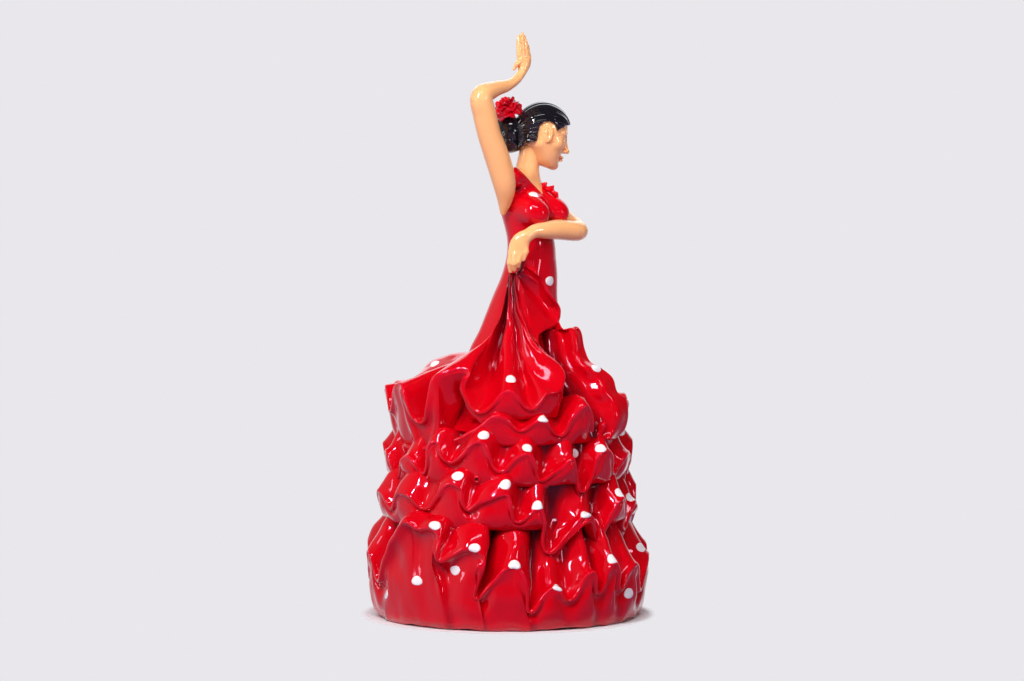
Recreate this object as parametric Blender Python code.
"""A glossy cast-resin souvenir figurine of a flamenco dancer, 200 mm tall.

The dancer faces +X, stands on the z = 0 plane, and has her right side towards -Y.
The figure is a set of resin castings that are pinned and glued together: a hollow skirt
core that carries five ruffled flounces, a lifted front panel and its cascade, a bodice,
the neck and chest, the head with its hair, bun and flower, and two arms.
"""

import math

import bmesh
import bpy
from mathutils import Vector

MM = 0.001

# Driving dimensions, in millimetres.
GAP = 0.3                 # glue gap between neighbouring castings
FELT_THICKNESS = 1.2
RESIN_BOTTOM = FELT_THICKNESS + GAP
HEM_RADIUS = 49.6         # the widest flounce, which sets the footprint
WALL = 4.0                # thickness of the hollow skirt casting
SHOULDER_Z = 78.0         # ledge that the overskirt flounce sits on
WAIST_Z = 125.0           # where the bodice is joined to the skirt
BODY_YAW = math.radians(-42)   # the chest is turned towards -Y
HEAD_YAW = math.radians(10)    # the face is turned a little towards +Y
HEAD_PITCH = math.radians(12)  # and looks slightly down

SKIRT_SIDES = 40
FLOUNCE_SIDES = 64
TORSO_SIDES = 28
LIMB_SIDES = 14

# Skirt core: a plain cone up to the ledge, then height, centre x, radius along x and along y.
SKIRT_FOOT_RADIUS = 40.0
SKIRT_LEDGE_RADIUS = 32.0
SKIRT_UPPER = [
    (SHOULDER_Z, 3.6, 18.0, 18.6),
    (88, 4.0, 17.0, 17.6),
    (98, 4.6, 13.6, 14.6),
    (104.5, 5.2, 11.8, 13.0),
    (110, 6.2, 10.2, 11.6),
    (117, 7.2, 9.1, 10.4),
    (WAIST_Z, 8.0, 8.3, 9.2),
]

# Torso rings: height, centre x, reach to the front, to the back and to each side.
TORSO = [
    (WAIST_Z + GAP, 8.0, 8.2, 8.2, 9.2),
    (131, 7.8, 7.7, 7.7, 9.2),
    (135.2, 7.4, 8.8, 7.8, 9.9),
    (137, 7.2, 12.6, 7.8, 10.3),
    (140.5, 6.9, 15.0, 7.6, 10.6),
    (144, 6.6, 12.8, 7.4, 10.6),
    (148, 6.4, 9.0, 6.8, 10.0),
    (151.5, 6.4, 6.4, 6.0, 8.0),
    (153.6, 6.6, 4.4, 4.6, 5.0),
    (156, 7.0, 3.5, 3.5, 3.5),
    (160.5, 8.4, 3.4, 3.4, 3.4),
]
# The neckline plane runs from the top of the shoulder down to the cleavage.
NECKLINE_SHOULDER = Vector((1.6, 0, 153.6))
NECKLINE_BUST = Vector((15.6, 0, 143.6))

HEAD_CENTRE = Vector((11.6, 0, 164.6))
HEAD_RADII = (8.6, 7.2, 10.6)     # to the front, to the side, upwards
HAIR_THICKNESS = 1.3
BUN_CENTRE = Vector((0.6, 0, 165.0))
BUN_RADII = (5.2, 6.2, 6.6)
FLOWER_CENTRE = Vector((-0.9, -1.0, 173.6))
FLOWER_RADIUS = 4.7
FLOWER_PETALS = 9

# Arms: points on the centre line and the radius of the limb at each one.
RAISED_ARM = [
    ((-0.4, -9.4, 143.0), 3.5),
    ((-1.2, -11.5, 148.9), 4.1),
    ((-3.9, -14.0, 158.1), 4.3),
    ((-6.1, -16.0, 164.8), 4.0),
    ((-7.6, -17.5, 171.6), 4.0),
    ((-8.7, -18.4, 177.2), 3.8),
    ((-6.6, -16.2, 179.8), 3.0),
    ((-1.4, -10.6, 181.4), 2.0),
    ((3.0, -5.6, 184.0), 1.6),
    ((5.2, -3.4, 187.2), 1.7),
    ((5.4, -2.7, 190.4), 2.2),
    ((4.9, -2.5, 194.4), 1.9),
    ((4.5, -2.4, 199.9), 1.1),
]
FOLDED_ARM = [
    ((11.6, 10.2, 142.0), 3.3),
    ((15.8, 9.8, 139.6), 3.6),
    ((20.6, 5.2, 134.2), 3.3),
    ((24.4, -1.0, 131.2), 3.2),
    ((18.6, -6.8, 131.2), 3.1),
    ((11.4, -13.2, 131.2), 2.7),
    ((6.6, -15.6, 130.4), 2.2),
    ((3.4, -16.0, 125.6), 2.6),
    ((1.8, -15.4, 119.6), 1.6),
]

PIN_DIAMETER = 1.6
WAIST_PIN_DIAMETER = 3.0
WAIST_PIN_ENDS = ((7.8, 0, 106), (7.2, 0, 141))
NECK_PIN_ENDS = ((6.6, 0, 150.4), (9.6, 0, 164.0))
RAISED_ARM_PIN_ENDS = ((4.4, -4.6, 140.4), (-1.9, -11.9, 149.0))
FOLDED_ARM_PIN_ENDS = ((7.0, 4.0, 145.2), (15.4, 9.9, 139.9))

# Flounces, bottom to top: hem height, hem radius, wave height and how many folds,
# with the level of the seam that each hangs from.
FLOUNCES = {
    "hem_flounce": dict(hem=20.0, radius=HEM_RADIUS, wave=3.4, folds=16, seam=34.0),
    "lower_flounce": dict(hem=38.5, radius=46.0, wave=3.0, folds=15, seam=50.0),
    "middle_flounce": dict(hem=55.5, radius=44.2, wave=2.8, folds=15, seam=65.0),
    "upper_flounce": dict(hem=69.5, radius=41.4, wave=2.0, folds=14, seam=SHOULDER_Z),
    "overskirt_flounce": dict(hem=82.6, radius=42.0, wave=2.6, folds=12, seam=88.4),
}
HEM_DEPTH = 2.2           # how far the hem moves in and out between folds
HEM_EDGE = 1.6            # thickness of the hem's edge

RED = (0.62, 0.006, 0.012)
SKIN = (0.80, 0.40, 0.19)
BLACK = (0.006, 0.006, 0.008)
ROSE = (0.66, 0.012, 0.016)
STEEL = (0.55, 0.56, 0.58)
FELT = (0.02, 0.021, 0.022)


def clear_scene():
    for obj in list(bpy.data.objects):
        bpy.data.objects.remove(obj, do_unlink=True)


def finish_material(name, colour, roughness, metallic=0.0):
    """One Principled finish, made the first time that it is asked for."""
    made = bpy.data.materials.get(name)
    if made:
        return made
    made = bpy.data.materials.new(name)
    made.use_nodes = True
    shader = made.node_tree.nodes["Principled BSDF"]
    shader.inputs["Base Color"].default_value = (*colour, 1)
    shader.inputs["Roughness"].default_value = roughness
    shader.inputs["Metallic"].default_value = metallic
    return made


def red_paint():
    return finish_material("red_paint", RED, 0.18)


def skin_paint():
    return finish_material("skin_paint", SKIN, 0.25)


def black_paint():
    return finish_material("black_paint", BLACK, 0.2)


def rose_paint():
    return finish_material("rose_paint", ROSE, 0.25)


def steel():
    return finish_material("steel", STEEL, 0.35, 1.0)


def felt():
    return finish_material("felt", FELT, 0.95)


def place(name, bm, material, cutter=False):
    """Turns a bmesh in millimetres into a named object in metres, faces pointing out."""
    bmesh.ops.recalc_face_normals(bm, faces=bm.faces)
    bmesh.ops.scale(bm, vec=(MM, MM, MM), verts=bm.verts)
    mesh = bpy.data.meshes.new(name)
    bm.to_mesh(mesh)
    bm.free()
    mesh.shade_smooth()
    mesh.set_sharp_from_angle(angle=math.radians(50))
    obj = bpy.data.objects.new(name, mesh)
    bpy.context.scene.collection.objects.link(obj)
    if cutter:
        obj.hide_render = True
        obj.display_type = "WIRE"
    else:
        mesh.materials.append(material)
    return obj


def loft(rings, closed=False):
    """A closed skin over rings of equally many points: capped at both ends, or joined end to end."""
    bm = bmesh.new()
    loops = [[bm.verts.new(point) for point in ring] for ring in rings]
    sides = len(loops[0])
    pairs = list(zip(loops, loops[1:]))
    if closed:
        pairs.append((loops[-1], loops[0]))
    for lower, upper in pairs:
        for i in range(sides):
            j = (i + 1) % sides
            bm.faces.new((lower[i], lower[j], upper[j], upper[i]))
    if not closed:
        bm.faces.new(loops[0])
        bm.faces.new(loops[-1])
    return bm


def turn(angle):
    return Vector((math.cos(angle), math.sin(angle), 0))


def egg_ring(height, centre_x, front, back, side, sides, yaw=0.0, centre_y=0.0):
    """A level oval whose front and back reach differ, turned about the vertical by yaw."""
    forward, left = turn(yaw), turn(yaw + math.pi / 2)
    centre = Vector((centre_x, centre_y, height))
    ring = []
    for i in range(sides):
        angle = 2 * math.pi * i / sides
        reach = front if math.cos(angle) > 0 else back
        ring.append(centre + forward * (reach * math.cos(angle)) + left * (side * math.sin(angle)))
    return ring


def cut_with(obj, cutter, name):
    modifier = obj.modifiers.new(name, "BOOLEAN")
    modifier.operation = "DIFFERENCE"
    modifier.object = cutter


def rod(ends, diameter, sides=16):
    """A straight round bar between two points."""
    start, end = Vector(ends[0]), Vector(ends[1])
    along = (end - start).normalized()
    across = along.orthogonal().normalized()
    other = along.cross(across)
    rings = []
    for centre in (start, end):
        ring = []
        for i in range(sides):
            angle = 2 * math.pi * i / sides
            offset = across * math.cos(angle) + other * math.sin(angle)
            ring.append(centre + offset * diameter / 2)
        rings.append(ring)
    return loft(rings)


def pin_and_sockets(name, ends, diameter, hosts):
    """A steel pin, and the hole for it through each casting that it joins."""
    place(name, rod(ends, diameter), steel())
    start, end = Vector(ends[0]), Vector(ends[1])
    spare = (end - start).normalized() * GAP
    hole = rod((start - spare, end + spare), diameter + 2 * GAP)
    socket = place(name + "_socket", hole, None, cutter=True)
    for host in hosts:
        cut_with(host, socket, name)


def skirt_radius(height):
    """Radius of the skirt core below its ledge."""
    share = (height - RESIN_BOTTOM) / (SHOULDER_Z - RESIN_BOTTOM)
    return SKIRT_FOOT_RADIUS + (SKIRT_LEDGE_RADIUS - SKIRT_FOOT_RADIUS) * share


def make_felt_pad():
    rings = [egg_ring(z, 0, 38, 38, 38, 48) for z in (0, FELT_THICKNESS)]
    return place("felt_pad", loft(rings), felt())


def make_skirt_core():
    """The hollow skirt casting: inner wall from its roof down, then the outer wall up to the waist."""
    inner_top = SHOULDER_Z - WALL
    rings = []
    for z, cut in ((inner_top, WALL), (RESIN_BOTTOM, WALL), (RESIN_BOTTOM, 0), (SHOULDER_Z, 0)):
        radius = skirt_radius(z) - cut
        rings.append(egg_ring(z, 0, radius, radius, radius, SKIRT_SIDES, BODY_YAW))
    for z, x, rx, ry in SKIRT_UPPER:
        rings.append(egg_ring(z, x, rx, rx, ry, SKIRT_SIDES, BODY_YAW))
    return place("skirt_core", loft(rings), red_paint())


def make_flounce(name, below, hem, radius, wave, folds, seam):
    """One gathered ring: it fills from the seam of the flounce below up to its own seam."""
    on_ledge = seam > SHOULDER_Z
    bottom = below + GAP
    sections = []
    for i in range(FLOUNCE_SIDES):
        angle = 2 * math.pi * i / FLOUNCE_SIDES
        fold = math.cos(folds * angle)
        hem_z = hem + wave * fold
        hem_r = radius - HEM_DEPTH * (1 - fold) / 2
        inner = skirt_radius(bottom) + GAP
        if name == "hem_flounce":
            profile = [(inner, bottom), (radius - 3.4, bottom), (radius - 0.8, 8.0)]
        else:
            profile = [(inner, bottom), (radius - 4.0, bottom + 0.4)]
        profile += [(hem_r, hem_z - HEM_EDGE), (hem_r, hem_z)]
        profile.append((inner + 0.45 * (hem_r - inner), hem_z + 0.72 * (seam - hem_z)))
        direction = turn(angle)
        section = [direction * r + Vector((0, 0, z)) for r, z in profile]
        if on_ledge:
            for z, x, rx, ry in reversed(SKIRT_UPPER[:2]):
                reach = max(rx, ry) + 2 * GAP
                z_level = seam if z > SHOULDER_Z else bottom
                section.append(direction * reach + Vector((x, 0, z_level)))
        else:
            section.append(direction * (skirt_radius(seam) + GAP) + Vector((0, 0, seam)))
        sections.append(section)
    return place(name, loft(sections, closed=True), red_paint())


def draped_patch(name, levels, start, end, pleats, steps):
    """A sheet that lies on the skirt between two directions, as a closed solid.

    Each level gives a height, the skirt's centre x and radii there, and the sheet's thickness.
    """
    rings = []
    for z, x, rx, ry, thickness in levels:
        inner, outer = [], []
        for i in range(steps + 1):
            share = i / steps
            angle = start + (end - start) * share
            ripple = 0.75 + 0.25 * math.cos(2 * math.pi * pleats * share)
            reach = max(rx, ry) + 2 * GAP
            centre = Vector((x, 0, z))
            inner.append(centre + turn(angle) * reach)
            outer.append(centre + turn(angle) * (reach + thickness * ripple))
        rings.append(inner + outer[::-1])
    return place(name, loft(rings), red_paint())


def make_lifted_panel():
    """The part of the overskirt that the hand gathers up against the hip."""
    levels = [
        (89.0, 4.0, 17.0, 17.6, 8.0),
        (98.0, 4.6, 13.6, 14.6, 6.2),
        (104.5, 5.2, 11.8, 13.0, 5.0),
        (110.0, 6.2, 10.2, 11.6, 4.0),
        (115.6, 7.0, 9.3, 10.6, 3.2),
    ]
    return draped_patch("lifted_panel", levels, math.radians(-118), math.radians(-62), 4, 24)


def make_cascade():
    """The ruffled far edge of the overskirt, falling from the hip to the flounce."""
    levels = [
        (89.0, 4.0, 17.0, 17.6, 13.0),
        (93.0, 4.3, 15.4, 16.2, 10.0),
        (98.0, 4.6, 13.6, 14.6, 7.0),
        (103.0, 5.1, 12.2, 13.4, 3.4),
    ]
    return draped_patch("cascade_ruffle", levels, math.radians(-58), math.radians(24), 5, 24)


def torso_rings(grow=0.0):
    rings = []
    for z, x, front, back, side in TORSO:
        rings.append(egg_ring(z, x, front + grow, back + grow, side + grow, TORSO_SIDES, BODY_YAW))
    return rings


def halve(bm, point, normal):
    """Keeps the side of a closed bmesh that the normal points away from, and caps the cut."""
    geometry = bm.verts[:] + bm.edges[:] + bm.faces[:]
    cut = bmesh.ops.bisect_plane(bm, geom=geometry, plane_co=point, plane_no=normal, clear_outer=True)
    edges = [e for e in cut["geom_cut"] if isinstance(e, bmesh.types.BMEdge)]
    bmesh.ops.edgeloop_fill(bm, edges=edges)
    return bm


def make_torso():
    """The bodice below the neckline plane, and the bare neck and chest above it."""
    slope = NECKLINE_BUST - NECKLINE_SHOULDER
    normal = Vector((-slope.z, 0, slope.x)).normalized()
    lower = halve(loft(torso_rings()), NECKLINE_BUST - normal * GAP / 2, normal)
    upper = halve(loft(torso_rings()), NECKLINE_BUST + normal * GAP / 2, -normal)
    return place("bodice", lower, red_paint()), place("neck_and_chest", upper, skin_paint())


def limb_rings(points, grow=0.0):
    """Round sections along a limb, each square to the run of its centre line."""
    centres = [Vector(p) for p, _ in points]
    rings = []
    across = Vector((1, 0, 0))
    for i, (centre, (_, radius)) in enumerate(zip(centres, points)):
        before, after = centres[max(i - 1, 0)], centres[min(i + 1, len(centres) - 1)]
        along = (after - before).normalized()
        across = (across - along * across.dot(along)).normalized()
        other = along.cross(across)
        ring = []
        for k in range(LIMB_SIDES):
            angle = 2 * math.pi * k / LIMB_SIDES
            offset = across * math.cos(angle) + other * math.sin(angle)
            ring.append(centre + offset * (radius + grow))
        rings.append(ring)
    return rings


def make_arm(name, points, hosts):
    """An arm with its hand, and the seat that it needs in the castings it is glued to."""
    arm = place(name, loft(limb_rings(points)), skin_paint())
    seat = place(name + "_seat", loft(limb_rings(points, GAP)), None, cutter=True)
    for host in hosts:
        cut_with(host, seat, name)
    return arm


def head_axes():
    """The directions to the face, to the left of the head and up, with the head turned and nodded."""
    forward = turn(HEAD_YAW) * math.cos(HEAD_PITCH) + Vector((0, 0, -math.sin(HEAD_PITCH)))
    left = turn(HEAD_YAW + math.pi / 2)
    return forward, left, forward.cross(left)


def egg(centre, radii, axes, grow=0.0, sides=24, levels=14):
    """A smooth egg with its long axis upright, narrower at the jaw."""
    forward, left, up = axes
    deep, wide, tall = (r + grow for r in radii)
    rings = []
    for level in range(1, levels):
        tilt = math.pi * (level / levels - 0.5)
        jaw = 1 - 0.20 * max(0.0, -math.sin(tilt)) ** 1.5
        ring = []
        for i in range(sides):
            angle = 2 * math.pi * i / sides
            flat = forward * (deep * math.cos(angle)) + left * (wide * math.sin(angle) * jaw)
            ring.append(centre + flat * math.cos(tilt) + up * (tall * math.sin(tilt)))
        rings.append(ring)
    return loft(rings)


def block(centre, axes, size):
    """A box along three directions."""
    corners = []
    for across in (-1, 1):
        ring = []
        for u, v in ((-1, -1), (1, -1), (1, 1), (-1, 1)):
            offset = axes[0] * (u * size[0]) + axes[1] * (across * size[1]) + axes[2] * (v * size[2])
            ring.append(centre + offset / 2)
        corners.append(ring)
    return loft(corners)


def make_head(neck):
    """The head, and around it the combed hair, the bun and the flower, each seated on the last."""
    axes = head_axes()
    forward, left, up = axes
    head = place("head", egg(HEAD_CENTRE, HEAD_RADII, axes), skin_paint())
    neck_seat = place("neck_seat", loft(torso_rings(GAP)), None, cutter=True)
    cut_with(head, neck_seat, "neck_seat")

    hair = place("hair_cap", egg(HEAD_CENTRE, HEAD_RADII, axes, HAIR_THICKNESS), black_paint())
    scalp = place("scalp_clearance", egg(HEAD_CENTRE, HEAD_RADII, axes, GAP), None, cutter=True)
    face_centre = HEAD_CENTRE + forward * 10.0 - up * 8.2
    face = place("face_opening", block(face_centre, axes, (20, 30, 20)), None, cutter=True)
    nape_centre = HEAD_CENTRE - up * 13.5
    nape = place("nape_opening", block(nape_centre, axes, (40, 30, 16)), None, cutter=True)
    for cutter in (scalp, face, nape):
        cut_with(hair, cutter, cutter.name)

    level = (Vector((1, 0, 0)), Vector((0, 1, 0)), Vector((0, 0, 1)))
    bun = place("hair_bun", egg(BUN_CENTRE, BUN_RADII, level, sides=20, levels=10), black_paint())
    clearance = HAIR_THICKNESS + GAP
    hair_seat = place("hair_seat", egg(HEAD_CENTRE, HEAD_RADII, axes, clearance), None, cutter=True)
    cut_with(bun, hair_seat, "hair_seat")

    flower = place("hair_flower", rosette(FLOWER_CENTRE, FLOWER_RADIUS), rose_paint())
    bun_seat_shape = egg(BUN_CENTRE, BUN_RADII, level, GAP, sides=20, levels=10)
    bun_seat = place("bun_seat", bun_seat_shape, None, cutter=True)
    cut_with(flower, hair_seat, "hair_seat")
    cut_with(flower, bun_seat, "bun_seat")
    cut_with(bun, neck, "neck")
    return head


def rosette(centre, radius, sides=36, levels=8):
    """A flattened ball whose rim is scalloped into petals."""
    rings = []
    for level in range(1, levels):
        tilt = math.pi * (level / levels - 0.5)
        ring = []
        for i in range(sides):
            angle = 2 * math.pi * i / sides
            scallop = 1 - 0.10 * (1 + math.cos(FLOWER_PETALS * angle)) * math.cos(tilt)
            offset = turn(angle) * (math.cos(tilt) * scallop) + Vector((0, 0, 0.86 * math.sin(tilt)))
            ring.append(centre + offset * radius)
        rings.append(ring)
    return loft(rings)


def main():
    clear_scene()
    make_felt_pad()
    core = make_skirt_core()
    below = RESIN_BOTTOM - GAP
    for name, sizes in FLOUNCES.items():
        make_flounce(name, below, **sizes)
        below = sizes["seam"]
    make_lifted_panel()
    make_cascade()
    bodice, neck = make_torso()
    head = make_head(neck)
    raised = make_arm("raised_arm", RAISED_ARM, (bodice, neck))
    folded = make_arm("folded_arm", FOLDED_ARM, (bodice, neck))
    pin_and_sockets("waist_pin", WAIST_PIN_ENDS, WAIST_PIN_DIAMETER, (core, bodice))
    pin_and_sockets("neck_pin", NECK_PIN_ENDS, PIN_DIAMETER, (neck, head, bodice))
    pin_and_sockets("raised_arm_pin", RAISED_ARM_PIN_ENDS, PIN_DIAMETER, (bodice, raised, neck))
    pin_and_sockets("folded_arm_pin", FOLDED_ARM_PIN_ENDS, PIN_DIAMETER, (bodice, folded, neck))


main()
